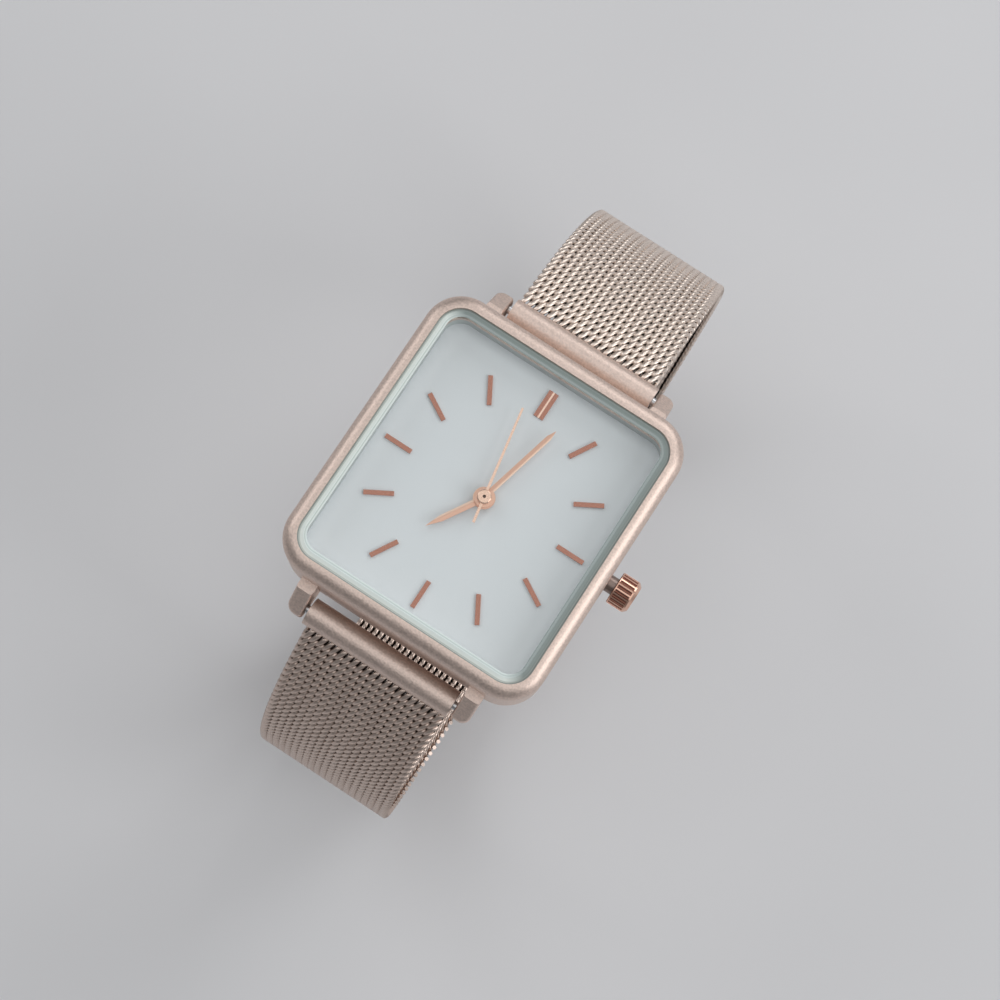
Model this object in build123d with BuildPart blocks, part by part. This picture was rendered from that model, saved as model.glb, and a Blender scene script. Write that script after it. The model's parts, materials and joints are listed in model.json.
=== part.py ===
from build123d import *
from math import atan2, cos, degrees, hypot, pi, radians, sin, sqrt
import os

# A wristwatch with a rounded square case, a three-hand quartz movement and a mesh strap
# that is closed as worn. All lengths are millimetres. The origin is the middle of the
# case back's outer face, +Z points out through the dial, +Y to 12 o'clock and +X to the crown.

# Clearances shared by many pieces
overrun = 1.0
running_gap = 0.05
slip_gap = 0.1

# Case
case_width = 26.2
case_length = 28.8
case_corner_radius = 3.6
bezel_rise = 1.3
bezel_round = 1.2
case_base_round = 0.4
bezel_side_wall = 1.25
bezel_end_wall = 1.35
cavity_side_wall = 1.55
cavity_end_wall = 1.75
cavity_corner_radius = 2.0
window_ledge_width = 0.6
window_ledge_thickness = 0.5

# Lugs and spring bars
lug_gap = 15.8
lug_thickness = 1.6
lug_reach = 2.95
lug_root_height = 4.6
lug_tip_round = 0.8
lug_tip_inner_round = 0.3
lug_edge_round = 0.25
bar_axis_from_case = 1.95
bar_axis_height = 2.0
lug_hole_depth = 1.0
bar_radius = 0.75
bar_end_gap = 1.0
bar_wall = 0.15
tip_radius = 0.4
tip_flange_radius = 0.52
tip_flange_length = 0.4
bar_end_wall = 0.3
tip_engagement = 0.7
tip_travel = 0.9
bar_spring_radius = 0.5
bar_spring_wall = 0.15

# Crystal, dial and marks
crystal_clearance = 0.34
crystal_gap = 0.12
crystal_thickness = 1.42
crystal_chamfer = 0.45
crystal_gasket_drop = 0.35
dial_top_height = 4.9
dial_thickness = 0.4
dial_bore_radius = 0.75
dial_foot_radius = 0.3
dial_foot_length = 0.9
dial_foot_inset = 1.1
marker_end_gap = 1.6
marker_side_gap = 1.49
marker_length = 2.7
marker_width = 0.42
marker_height = 0.2
noon_marker_width = 0.94
noon_groove_width = 0.15
noon_groove_depth = 0.1
hour_count = 12

# Hands, as they stand at two minutes past seven
hour_hand_angle = 211.2
minute_hand_angle = 13.8
seconds_hand_angle = 350.0
hour_hand_lift = 0.48
minute_hand_gap = 0.16
seconds_hand_gap = 0.08
hand_thickness = 0.12
hub_thickness = 0.2
hour_hand_length = 5.7
hour_hand_width = 0.56
hour_hand_root_width = 0.6
hour_point_length = 1.5
hour_hub_radius = 1.0
minute_hand_length = 8.7
minute_hand_width = 0.48
minute_hand_root_width = 0.5
minute_point_length = 0.9
minute_hub_radius = 0.92
seconds_hand_length = 8.65
seconds_hand_width = 0.26
seconds_tip_width = 0.2
seconds_tail_length = 2.45
seconds_tail_width = 0.24
seconds_boss_radius = 0.64
seconds_boss_height = 0.34
seconds_pinhole_radius = 0.13
seconds_pinhole_depth = 0.15

# Case back
case_back_thickness = 0.8
case_back_inset = 0.3
case_back_chamfer = 0.2
plug_height = 0.4
gasket_width = 0.35
gasket_height = 0.25
back_screw_radius = 0.25
back_screw_length = 1.8
back_screw_head_radius = 0.42
back_screw_reach = 2.6
back_screw_angle = 45.0
back_screw_head_height = 0.4
screw_slot_width = 0.16
screw_slot_depth = 0.15

# Movement plates and layers
plate_width = 16.0
plate_length = 17.6
plate_corner_radius = 2.2
plate_bottom_height = 3.1
plate_top_height = 3.95
bridge_bottom_height = 1.55
bridge_thickness = 0.35
bridge_left = 3.7
bridge_right = 4.9
bridge_south = 4.7
bridge_north = 6.0
bridge_corner_radius = 0.9
bridge_cell_gap = 0.45
post_radius = 0.5
post_place_shares = ((-0.194, 0.301), (0.269, 0.261), (0.025, -0.227))
movement_screw_radius = 0.25
movement_screw_head_radius = 0.5
movement_screw_head_height = 0.18
movement_screw_length = 1.0
pivot_radius = 0.08
pivot_gap = 0.02
pivot_length = 0.25
arbor_radius = 0.12
stud_radius = 0.15
stud_height = 0.3

# Power cell and electronics
battery_radius = 3.4
battery_height = 2.15
battery_x = -4.2
battery_y = -5.0
battery_top_height = 3.6
battery_rim = 0.35
battery_step = 0.3
clamp_width = 1.6
clamp_thickness = 0.12
board_width = 13.0
board_length = 2.3
board_thickness = 0.3
board_y = 7.3
can_radius = 0.5
can_length = 4.6
can_x = 3.2
chip_width = 1.7
chip_height = 0.6
chip_x = -1.8
stator_height = 2.14
stator_thickness = 0.24
stator_arm_width = 1.1
stator_eye_radius = 1.45
stator_eye_gap = 0.15
stator_post_radius = 0.4
core_x = 6.3
core_width = 0.7
core_south_y = -8.0
core_north_y = -1.5
coil_radius = 0.72
coil_length = 3.4
coil_flange_radius = 0.8
coil_flange_thickness = 0.2

# Gear train. Shares are of the module or of half a tooth pitch.
addendum_share = 0.9
dedendum_share = 1.2
tooth_root_share = 0.58
tooth_tip_share = 0.24
train_module = 0.09
fourth_module = 0.13
centre_module = 0.085
hour_module = 0.0864
wheel_thickness = 0.12
rotor_teeth = 7
intermediate_teeth = 42
intermediate_pinion_teeth = 8
fourth_teeth = 40
fourth_pinion_teeth = 8
third_teeth = 60
third_pinion_teeth = 8
centre_teeth = 64
cannon_teeth = 12
minute_teeth = 36
minute_pinion_teeth = 10
hour_teeth = 40
setting_teeth = 16
third_wheel_angle = 100.0
intermediate_wheel_angle = -20.0
rotor_angle = -60.0
minute_wheel_angle = -35.0
rotor_pinion_height = 1.93
intermediate_height = 1.96
fourth_height = 2.14
third_height = 2.44
centre_height = 2.84
rotor_magnet_height = 2.12
rotor_magnet_thickness = 0.42
rotor_magnet_radius = 0.85
cannon_height = 3.99
hour_wheel_height = 4.2
centre_tube_radius = 0.42
seconds_arbor_radius = 0.15
hour_tube_radius = 0.62
end_shake = 0.04
pinion_overlap = 0.06

# Crown, stem and setting parts
stem_height = 3.5
stem_radius = 0.4
crown_radius = 1.53
crown_length = 2.0
crown_neck = 0.75
crown_chamfer = 0.3
crown_wall = 0.42
crown_rim = 0.14
crown_flutes = 20
flute_radius = 0.17
crown_end_wall = 0.55
crown_tube_radius = 0.8
crown_tube_wall = 0.35
crown_gasket_length = 0.3
crown_pull_travel = 0.9
stem_groove_x = 7.1
stem_groove_width = 0.4
stem_groove_radius = 0.22
stem_square_side = 0.4
stem_square_start = 6.5
clutch_radius = 0.72
clutch_start = 5.1
clutch_length = 1.1
clutch_flange = 0.3
clutch_neck_radius = 0.45
clutch_teeth = 14
clutch_travel = 0.45
lever_thickness = 0.14
lever_width = 0.4
setting_lever_arm = 2.2
setting_pin_radius = 0.14
yoke_arm = 2.4
yoke_tip_width = 0.22
lever_pivot_radius = 0.4
stem_channel_gap = 0.2

# Strap
tube_radius = 1.3
tube_end_gap = 0.35
strap_side_inset = 0.15
strap_thickness = 1.2
strap_rib_count = 21
strap_rib_width = 0.5
strap_rib_height = 0.38
strap_lead = 1.7
strap_drop_at_tube = 0.2
strap_12_angle = 15.0
strap_12_radius = 22.4
strap_6_angle = 40.4
strap_6_radius = 27.5
strap_6_low_share = 0.75
inner_strap_height = -40.5
strap_layer_step = 2.2
strap_12_end_y = 5.2
strap_6_end_y = 5.8
end_cap_length = 1.6
end_cap_wall = 0.2

# Clasp
frame_wall = 0.35
frame_side_gap = 0.15
frame_north_y = 1.8
frame_south_y = -8.2
frame_depth = 3.55
crossbar_y = 0.5
crossbar_radius = 0.45
crossbar_drop = 0.8
flap_pin_y = -7.2
flap_pin_radius = 0.3
flap_length = 6.0
flap_thickness = 0.4
flap_cam_radius = 0.85
flap_cam_gap = 0.15
end_piece_north_y = 7.2
end_piece_south_y = 3.6
end_piece_wall = 0.3
hook_south_y = -0.7
hook_lip_height = 0.25
hook_width = 9.0
cover_south_y = -9.2
cover_hinge_y = 8.0
cover_hinge_drop = 0.5
cover_side_wall = 0.35
cover_thickness = 0.4
cover_side_height = 2.2
cover_side_north_y = 6.5
cover_lip_height = 0.8
cover_knuckle_radius = 0.6
cover_pin_radius = 0.3
cover_corner_radius = 1.0
cover_knuckle_length = 3.3
cover_gap = 0.3

# Outlines of the upright rounded pieces, as width, length and corner radius
case_size = (case_width, case_length, case_corner_radius)
opening_size = (
    case_width - 2 * bezel_side_wall,
    case_length - 2 * bezel_end_wall,
    case_corner_radius - bezel_side_wall,
)
cavity_size = (
    case_width - 2 * cavity_side_wall,
    case_length - 2 * cavity_end_wall,
    cavity_corner_radius,
)
plate_size = (plate_width, plate_length, plate_corner_radius)

# Places and heights worked out from the values above
half_width = case_width / 2
half_length = case_length / 2
case_base = case_back_thickness
hour_hand_height = dial_top_height + hour_hand_lift
minute_hand_height = hour_hand_height + hub_thickness + minute_hand_gap
seconds_hand_height = minute_hand_height + hub_thickness + seconds_hand_gap
crystal_seat_height = seconds_hand_height + seconds_boss_height + crystal_clearance
bezel_top_height = crystal_seat_height + bezel_rise
cavity_top = crystal_seat_height - window_ledge_thickness
case_wall_x = half_width - cavity_side_wall
bar_y = half_length + bar_axis_from_case
lug_inner_x = lug_gap / 2
bar_length = lug_gap - 2 * bar_end_gap
marker_ring_width = opening_size[0] - 2 * marker_side_gap
marker_ring_length = opening_size[1] - 2 * marker_end_gap
dial_bottom = dial_top_height - dial_thickness
dial_foot_x = plate_width / 2 - dial_foot_inset
dial_foot_y = plate_length / 2 - dial_foot_inset
dial_foot_places = ((dial_foot_x, -dial_foot_y), (-dial_foot_x, dial_foot_y))
holder_bottom = case_base + plug_height + slip_gap
screw_x = half_width - case_corner_radius + back_screw_reach * cos(radians(back_screw_angle))
screw_y = half_length - case_corner_radius + back_screw_reach * sin(radians(back_screw_angle))
back_screw_places = [(x_side * screw_x, y_side * screw_y) for x_side in (1, -1) for y_side in (1, -1)]

post_places = [(x_share * plate_width, y_share * plate_length) for x_share, y_share in post_place_shares]
bridge_top = bridge_bottom_height + bridge_thickness
battery_place = (battery_x, battery_y)
battery_bottom = battery_top_height - battery_height
board_bottom = plate_bottom_height - board_thickness
stator_top = stator_height + stator_thickness

stem_line = (0, stem_height)
stem_square_end = clutch_start - crown_pull_travel
crown_start = half_width + crown_neck
crown_end = crown_start + crown_length
crown_tube_end = crown_end - crown_end_wall - slip_gap
stem_tip_x = crown_end - crown_end_wall / 2
setting_lever_pivot = (stem_groove_x, setting_lever_arm)
yoke_x = clutch_start + clutch_length / 2
yoke_pivot = (yoke_x, -yoke_arm)

tube_length = lug_gap - 2 * tube_end_gap
strap_width = tube_length - 2 * strap_side_inset
strap_start_height = bar_axis_height - strap_drop_at_tube
outer_strap_height = inner_strap_height - strap_layer_step
inner_strap_top = inner_strap_height + strap_thickness / 2
inner_strap_bottom = inner_strap_height - strap_thickness / 2
outer_strap_top = outer_strap_height + strap_thickness / 2
outer_strap_bottom = outer_strap_height - strap_thickness / 2
strap_half = strap_width / 2
frame_top = inner_strap_top + slip_gap + frame_wall
frame_inner_half = strap_half + frame_side_gap
frame_half = frame_inner_half + frame_wall
flap_line = (flap_pin_y, inner_strap_bottom - flap_cam_gap - flap_cam_radius)
end_piece_half = strap_half + end_piece_wall
end_piece_bottom = outer_strap_bottom - end_piece_wall
end_piece_top = outer_strap_top + end_piece_wall
cover_line = (cover_hinge_y, end_piece_bottom - cover_hinge_drop)
cover_bottom = cover_line[1] - cover_knuckle_radius
cover_plate_top = cover_bottom + cover_thickness
cover_inner_half = frame_half + cover_gap
cover_half = cover_inner_half + cover_side_wall
middle_knuckle_half = cover_inner_half - cover_knuckle_length - slip_gap

cut = Mode.SUBTRACT


def about(middle, length):
    """The two ends of a length about its middle."""
    return middle - length / 2, middle + length / 2


def inset(size, gap):
    """A rounded outline drawn in by a gap all round."""
    return size[0] - 2 * gap, size[1] - 2 * gap, size[2] - gap


def slab(size, bottom, top, mode=Mode.ADD):
    """An upright rounded block between two heights, centred on the dial's axis."""
    with BuildSketch(Plane.XY.offset(bottom)) as outline:
        RectangleRounded(*size)
    extrude(outline.sketch, amount=top - bottom, mode=mode)


def disc(place, radius, bottom, top, mode=Mode.ADD):
    """An upright cylinder between two heights."""
    with BuildSketch(Plane((*place, bottom))) as outline:
        Circle(radius)
    extrude(outline.sketch, amount=top - bottom, mode=mode)


def rod(line, radius, start, end, mode=Mode.ADD):
    """A cylinder along X between two ends, on a line given by its y and z."""
    with BuildSketch(Plane((start, *line), x_dir=(0, 1, 0), z_dir=(1, 0, 0))) as outline:
        Circle(radius)
    extrude(outline.sketch, amount=end - start, mode=mode)


def block(x_ends, y_ends, z_ends, mode=Mode.ADD):
    """A box between two ends along each axis."""
    middle = Plane((sum(x_ends) / 2, sum(y_ends) / 2, z_ends[0]))
    with BuildSketch(middle) as outline:
        Rectangle(abs(x_ends[1] - x_ends[0]), abs(y_ends[1] - y_ends[0]))
    extrude(outline.sketch, amount=z_ends[1] - z_ends[0], mode=mode)


def slot(place, length, bottom, depth):
    """A screwdriver slot cut upwards into a screw's head."""
    with BuildSketch(Plane((*place, bottom))) as outline:
        Rectangle(length, screw_slot_width)
    extrude(outline.sketch, amount=depth, mode=cut)


def save(piece, name):
    """Label a finished piece and write it under its node's name."""
    piece.part.label = name
    export_step(piece.part, f"parts/{name}.step")


def row_places(count, pitch):
    """Places in a row of this pitch about zero."""
    return [(number - (count - 1) / 2) * pitch for number in range(count)]


def polar(distance, direction):
    """A place at a distance from the dial's axis, with the direction in degrees from +X."""
    return distance * cos(radians(direction)), distance * sin(radians(direction))


def wheel_points(teeth, module, phase):
    """The outline of a toothed wheel. One tooth points at the phase angle, in radians."""
    pitch_radius = teeth * module / 2
    tip = pitch_radius + addendum_share * module
    root = pitch_radius - dedendum_share * module
    corners = (
        (root, -tooth_root_share),
        (tip, -tooth_tip_share),
        (tip, tooth_tip_share),
        (root, tooth_root_share),
    )
    points = []
    for tooth in range(teeth):
        middle = phase + 2 * pi * tooth / teeth
        for radius, share in corners:
            angle = middle + share * pi / teeth
            points.append((radius * cos(angle), radius * sin(angle)))
    return points


def toothed_disc(plane, teeth, module, phase, thickness):
    """A toothed wheel that rises from a plane."""
    with BuildSketch(plane) as outline:
        with BuildLine():
            Polyline(*wheel_points(teeth, module, phase), close=True)
        make_face()
    extrude(outline.sketch, amount=thickness)


def wheel(place, teeth, module, phase, bottom, top):
    """An upright toothed wheel between two heights."""
    toothed_disc(Plane((*place, bottom)), teeth, module, phase, top - bottom)


def mesh_phase(phase, teeth, next_teeth, direction):
    """The phase of the next wheel, whose axis lies at a direction in degrees from this one's."""
    facing = radians(direction)
    return facing + pi - (phase - facing) * teeth / next_teeth - pi / next_teeth


def arbor(place):
    """A wheel's arbor between bridge and plate, with a thinner pivot in each."""
    bottom = bridge_top + end_shake
    top = plate_bottom_height - end_shake
    disc(place, arbor_radius, bottom, top)
    disc(place, pivot_radius, bottom - pivot_length, top + pivot_length)


def strip_outline(start, heading, legs, thickness):
    """The side view of a strap half about a middle line of straight and tangent curved legs.

    A leg is (length, 0) for a straight run or (radius, turn) for an arc, in degrees, left positive.
    """
    facing = Vector(cos(radians(heading)), sin(radians(heading)))
    left = Vector(-facing.Y, facing.X)
    ends = []
    for side in (thickness / 2, -thickness / 2):
        point = Vector(*start) + left * side
        direction = facing
        first = point
        for size, turn in legs:
            if turn:
                radius = size - side if turn > 0 else size + side
                edge = JernArc(start=point, tangent=direction, radius=radius, arc_size=turn)
            else:
                edge = Line(point, point + direction * size)
            point = edge @ 1
            direction = edge % 1
        ends.append((first, point))
    Line(ends[0][0], ends[1][0])
    Line(ends[0][1], ends[1][1])


def strap_layer(y_side, heading, legs, thickness, width, mode=Mode.ADD):
    """One thickness of a strap half, symmetrical about the middle of its width."""
    with BuildSketch(Plane.YZ) as side_view:
        with BuildLine():
            strip_outline((y_side * bar_y, strap_start_height), heading, legs, thickness)
        make_face()
    return extrude(side_view.sketch, amount=width / 2, both=True, mode=mode)


def strap_strip(y_side, heading, legs):
    """A strap half: a core with a rib on both faces for each column of its woven wire.

    Its start is hollowed by the tube that it is welded to.
    """
    core_thickness = strap_thickness - 2 * strap_rib_height
    strap_layer(y_side, heading, legs, core_thickness, strap_width)
    rib = strap_layer(y_side, heading, legs, strap_thickness, strap_rib_width, Mode.PRIVATE)
    rib_pitch = strap_width / strap_rib_count
    with Locations(*[(x, 0, 0) for x in row_places(strap_rib_count, rib_pitch)]):
        add(rib)
    rod((y_side * bar_y, bar_axis_height), tube_radius, -strap_width, strap_width, cut)


def oval_reach(direction):
    """How far the oval of the hour marks reaches from the centre in a direction, in degrees."""
    along_x = cos(radians(direction)) / (marker_ring_width / 2)
    along_y = sin(radians(direction)) / (marker_ring_length / 2)
    return 1 / hypot(along_x, along_y)


def hand_plane(angle, height):
    """A level plane whose X axis points at an angle in degrees clockwise from 12 o'clock."""
    return Plane((0, 0, height), x_dir=(sin(radians(angle)), cos(radians(angle)), 0))


def blade(angle, height, length, point_length, root_width, width):
    """A hand's blade, which runs from the hub to its shoulders and then to a point."""
    shoulder = length - point_length
    with BuildSketch(hand_plane(angle, height)) as outline:
        with BuildLine():
            Polyline(
                (0, root_width / 2),
                (shoulder, width / 2),
                (length, 0),
                (shoulder, -width / 2),
                (0, -root_width / 2),
                close=True,
            )
        make_face()
    extrude(outline.sketch, amount=hand_thickness)


def lever_bar(pivot, tip, width):
    """A flat lever on the main plate's front, bored for its stud at the pivot."""
    reach = (tip[0] - pivot[0], tip[1] - pivot[1], 0)
    length = hypot(*reach)
    with BuildSketch(Plane((*pivot, cannon_height), x_dir=reach)) as outline:
        Circle(lever_pivot_radius)
        with Locations((length / 2, 0)):
            SlotCenterToCenter(length, width)
        Circle(stud_radius + running_gap, mode=cut)
    extrude(outline.sketch, amount=lever_thickness)


# Wheel places, from the tooth counts of each pair
third_place = polar((fourth_pinion_teeth + third_teeth) * train_module / 2, third_wheel_angle)
intermediate_reach = (intermediate_pinion_teeth + fourth_teeth) * fourth_module / 2
intermediate_place = polar(intermediate_reach, intermediate_wheel_angle)
rotor_reach = polar((rotor_teeth + intermediate_teeth) * train_module / 2, rotor_angle)
rotor_place = (intermediate_place[0] + rotor_reach[0], intermediate_place[1] + rotor_reach[1])
minute_place = polar((cannon_teeth + minute_teeth) * train_module / 2, minute_wheel_angle)
setting_distance = (minute_teeth + setting_teeth) * train_module / 2
setting_place = (minute_place[0] + sqrt(setting_distance**2 - minute_place[1] ** 2), 0)
setting_wheel_angle = degrees(atan2(-minute_place[1], setting_place[0] - minute_place[0]))
train_places = (third_place, intermediate_place, rotor_place)

# Wheel phases, so that every pair is in mesh at rest
third_pinion_phase = mesh_phase(0, centre_teeth, third_pinion_teeth, third_wheel_angle)
fourth_pinion_phase = mesh_phase(0, third_teeth, fourth_pinion_teeth, third_wheel_angle + 180)
intermediate_pinion_phase = mesh_phase(
    0, fourth_teeth, intermediate_pinion_teeth, intermediate_wheel_angle
)
rotor_phase = mesh_phase(0, intermediate_teeth, rotor_teeth, rotor_angle)
minute_phase = mesh_phase(0, cannon_teeth, minute_teeth, minute_wheel_angle)
hour_phase = mesh_phase(0, minute_pinion_teeth, hour_teeth, minute_wheel_angle + 180)
setting_phase = mesh_phase(minute_phase, minute_teeth, setting_teeth, setting_wheel_angle)

# Strap half at 12 o'clock: out from the bar, round the wrist and flat under it
out_12 = bar_y + strap_lead * cos(radians(strap_12_angle))
out_12 += strap_12_radius * (1 - sin(radians(strap_12_angle)))
upright_12 = strap_start_height - strap_lead * sin(radians(strap_12_angle))
upright_12 -= strap_12_radius * cos(radians(strap_12_angle))
low_radius_12 = upright_12 - outer_strap_height
strap_12_legs = (
    (strap_lead, 0),
    (strap_12_radius, strap_12_angle - 90),
    (low_radius_12, -90),
    (out_12 - low_radius_12 - strap_12_end_y, 0),
)

# Strap half at 6 o'clock: falls more steeply and runs inside the other half
out_6 = bar_y + strap_lead * cos(radians(strap_6_angle))
out_6 += strap_6_radius * (1 - sin(radians(strap_6_angle)))
upright_6 = strap_start_height - strap_lead * sin(radians(strap_6_angle))
upright_6 -= strap_6_radius * cos(radians(strap_6_angle))
strap_6_drop = upright_6 - inner_strap_height
strap_6_low_radius = strap_6_low_share * strap_6_drop
strap_6_legs = (
    (strap_lead, 0),
    (strap_6_radius, 90 - strap_6_angle),
    (strap_6_drop - strap_6_low_radius, 0),
    (strap_6_low_radius, 90),
    (out_6 - strap_6_low_radius + strap_6_end_y, 0),
)

os.makedirs("parts", exist_ok=True)

# Case middle: a soft-edged frame with four round-tipped lugs, open through the middle
with BuildPart() as case_middle:
    slab(case_size, case_base, bezel_top_height)
    fillet(case_middle.edges().group_by(Axis.Z)[-1], bezel_round)
    fillet(case_middle.edges().group_by(Axis.Z)[0], case_base_round)
    lug_root_y = half_length - bezel_end_wall
    lug_tip_y = half_length + lug_reach
    for x_side in (1, -1):
        for y_side in (1, -1):
            with BuildSketch(Plane.YZ.offset(x_side * lug_inner_x)):
                with BuildLine():
                    Polyline(
                        (y_side * lug_root_y, case_base),
                        (y_side * (half_length + lug_reach / 2), case_base),
                        (y_side * lug_tip_y, bar_axis_height - tip_radius),
                        (y_side * lug_tip_y, bar_axis_height + tip_flange_radius),
                        (y_side * (half_length + lug_reach / 3), lug_root_height),
                        (y_side * lug_root_y, lug_root_height),
                        close=True,
                    )
                make_face()
            extrude(amount=x_side * lug_thickness)
    lug_tip_edges = case_middle.edges().filter_by(Axis.Z)
    lug_tip_edges = lug_tip_edges.filter_by(lambda edge: abs(edge.center().Y) > lug_tip_y - slip_gap)
    lug_middle_x = lug_inner_x + lug_thickness / 2
    fillet(lug_tip_edges.filter_by(lambda edge: abs(edge.center().X) > lug_middle_x), lug_tip_round)
    fillet(lug_tip_edges.filter_by(lambda edge: abs(edge.center().X) < lug_middle_x), lug_tip_inner_round)
    for y_side in (1, -1):
        lug_slopes = case_middle.faces().filter_by(
            lambda face: face.center().Y * y_side > half_length + lug_reach / 3
            and face.normal_at().Z > slip_gap
            and face.normal_at().Y * y_side > slip_gap
        )
        outer_edges = lug_slopes.edges().filter_by(
            lambda edge: abs(edge.center().X) > lug_middle_x + slip_gap
        )
        fillet(outer_edges, lug_edge_round)
    slab(opening_size, crystal_seat_height, bezel_top_height + overrun, cut)
    slab(inset(opening_size, window_ledge_width), case_base, crystal_seat_height, cut)
    slab(cavity_size, case_base - overrun, cavity_top, cut)
    rod(stem_line, crown_tube_radius, case_wall_x - overrun, half_width + overrun, cut)
    for x_side in (1, -1):
        for y_side in (1, -1):
            hole_start = x_side * (lug_inner_x - overrun)
            hole_end = x_side * (lug_inner_x + lug_hole_depth)
            rod((y_side * bar_y, bar_axis_height), tip_radius + running_gap, hole_start, hole_end, cut)
    for place in back_screw_places:
        disc(place, back_screw_radius, case_base - overrun, back_screw_length, cut)
save(case_middle, "case_middle")

# Crystal: a flat glass with a bevelled edge, held in a thin gasket on the window's ledge
with BuildPart() as crystal:
    slab(inset(opening_size, crystal_gap), crystal_seat_height, crystal_seat_height + crystal_thickness)
    chamfer(crystal.edges().group_by(Axis.Z)[-1], crystal_chamfer)
save(crystal, "crystal")

with BuildPart() as crystal_gasket:
    gasket_top = bezel_top_height - crystal_gasket_drop
    slab(opening_size, crystal_seat_height, gasket_top)
    slab(inset(opening_size, crystal_gap), crystal_seat_height, gasket_top, cut)
save(crystal_gasket, "crystal_gasket")

# Dial plate with its two feet, and the ring that stands between dial and window
with BuildPart() as dial:
    slab(inset(cavity_size, slip_gap), dial_bottom, dial_top_height)
    for place in dial_foot_places:
        disc(place, dial_foot_radius, dial_bottom - dial_foot_length, dial_bottom)
    disc((0, 0), dial_bore_radius, dial_bottom, dial_top_height, cut)
save(dial, "dial")

with BuildPart() as dial_ring:
    slab(inset(cavity_size, slip_gap), dial_top_height, cavity_top)
    slab(inset(opening_size, window_ledge_width), dial_top_height, cavity_top, cut)
save(dial_ring, "dial_ring")

# Hour batons: their outer ends lie on an oval, and each points at the dial's centre
with BuildPart() as hour_markers:
    for hour in range(1, hour_count):
        direction = 90 - 360 * hour / hour_count
        place = polar(oval_reach(direction) - marker_length / 2, direction)
        with BuildSketch(Plane((*place, dial_top_height), x_dir=(*polar(1, direction), 0))) as baton:
            Rectangle(marker_length, marker_width)
        extrude(baton.sketch, amount=marker_height)
save(hour_markers, "hour_markers")

with BuildPart() as marker_12:
    noon_y = (marker_ring_length - marker_length) / 2
    marker_top = dial_top_height + marker_height
    block(about(0, noon_marker_width), about(noon_y, marker_length), (dial_top_height, marker_top))
    groove_bottom = marker_top - noon_groove_depth
    block(about(0, noon_groove_width), about(noon_y, marker_length), (groove_bottom, marker_top), cut)
save(marker_12, "marker_12")

# Case back: a plate with a stepped plug, its flat gasket and four corner screws
plug_size = inset(cavity_size, slip_gap)
rebate_size = inset(plug_size, gasket_width)
gasket_top = case_base + gasket_height
with BuildPart() as case_back:
    slab(inset(case_size, case_back_inset), 0, case_base)
    chamfer(case_back.edges().group_by(Axis.Z)[0], case_back_chamfer)
    slab(rebate_size, case_base, gasket_top)
    slab(plug_size, gasket_top, case_base + plug_height)
    for place in back_screw_places:
        disc(place, back_screw_head_radius, 0, back_screw_head_height, cut)
        disc(place, back_screw_radius, 0, case_base, cut)
save(case_back, "case_back")

with BuildPart() as case_back_gasket:
    slab(cavity_size, case_base, gasket_top)
    slab(rebate_size, case_base, gasket_top, cut)
save(case_back_gasket, "case_back_gasket")

with BuildPart() as case_back_screws:
    for place in back_screw_places:
        disc(place, back_screw_head_radius, 0, back_screw_head_height)
        disc(place, back_screw_radius, 0, back_screw_length)
        slot(place, 2 * back_screw_head_radius, 0, screw_slot_depth)
save(case_back_screws, "case_back_screws")

# Plastic holder that fills the space between the movement and the case
with BuildPart() as movement_holder:
    slab(inset(cavity_size, slip_gap), holder_bottom, dial_bottom)
    slab(inset(plate_size, -slip_gap), holder_bottom, dial_bottom, cut)
    passage_width = 2 * (clutch_radius + stem_channel_gap)
    passage_bottom = stem_height - passage_width / 2
    block((0, half_width), about(0, passage_width), (passage_bottom, dial_bottom), cut)
save(movement_holder, "movement_holder")

# Main plate: carries the train on its back, the motion work on its front and the stem in a channel
plate_ends = (plate_bottom_height, plate_top_height)
with BuildPart() as main_plate:
    slab(plate_size, *plate_ends)
    for place in post_places:
        disc(place, post_radius, bridge_top, plate_bottom_height)
        disc(place, movement_screw_radius, bridge_top, bridge_top + movement_screw_length, cut)
    stator_post_place = ((rotor_place[0] + core_x) / 2, core_south_y + stator_arm_width / 2)
    disc(stator_post_place, stator_post_radius, stator_top, plate_bottom_height)
    for place in (minute_place, setting_place, setting_lever_pivot, yoke_pivot):
        disc(place, stud_radius, plate_top_height, plate_top_height + stud_height)
    disc(battery_place, battery_radius + slip_gap, plate_bottom_height, battery_top_height, cut)
    disc((0, 0), centre_tube_radius + running_gap, *plate_ends, cut)
    pivot_hole_top = plate_bottom_height + pivot_length + end_shake
    for place in train_places:
        disc(place, pivot_radius + pivot_gap, plate_bottom_height, pivot_hole_top, cut)
    for place in dial_foot_places:
        disc(place, dial_foot_radius + running_gap, *plate_ends, cut)
    channel_width = 2 * (stem_radius + stem_channel_gap)
    block((stem_square_end - slip_gap, half_width), about(0, channel_width), plate_ends, cut)
    pocket_start = clutch_start - clutch_travel - stem_channel_gap
    pocket_end = clutch_start + clutch_length + stem_channel_gap
    block((pocket_start, pocket_end), about(0, passage_width), plate_ends, cut)
save(main_plate, "main_plate")

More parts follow.
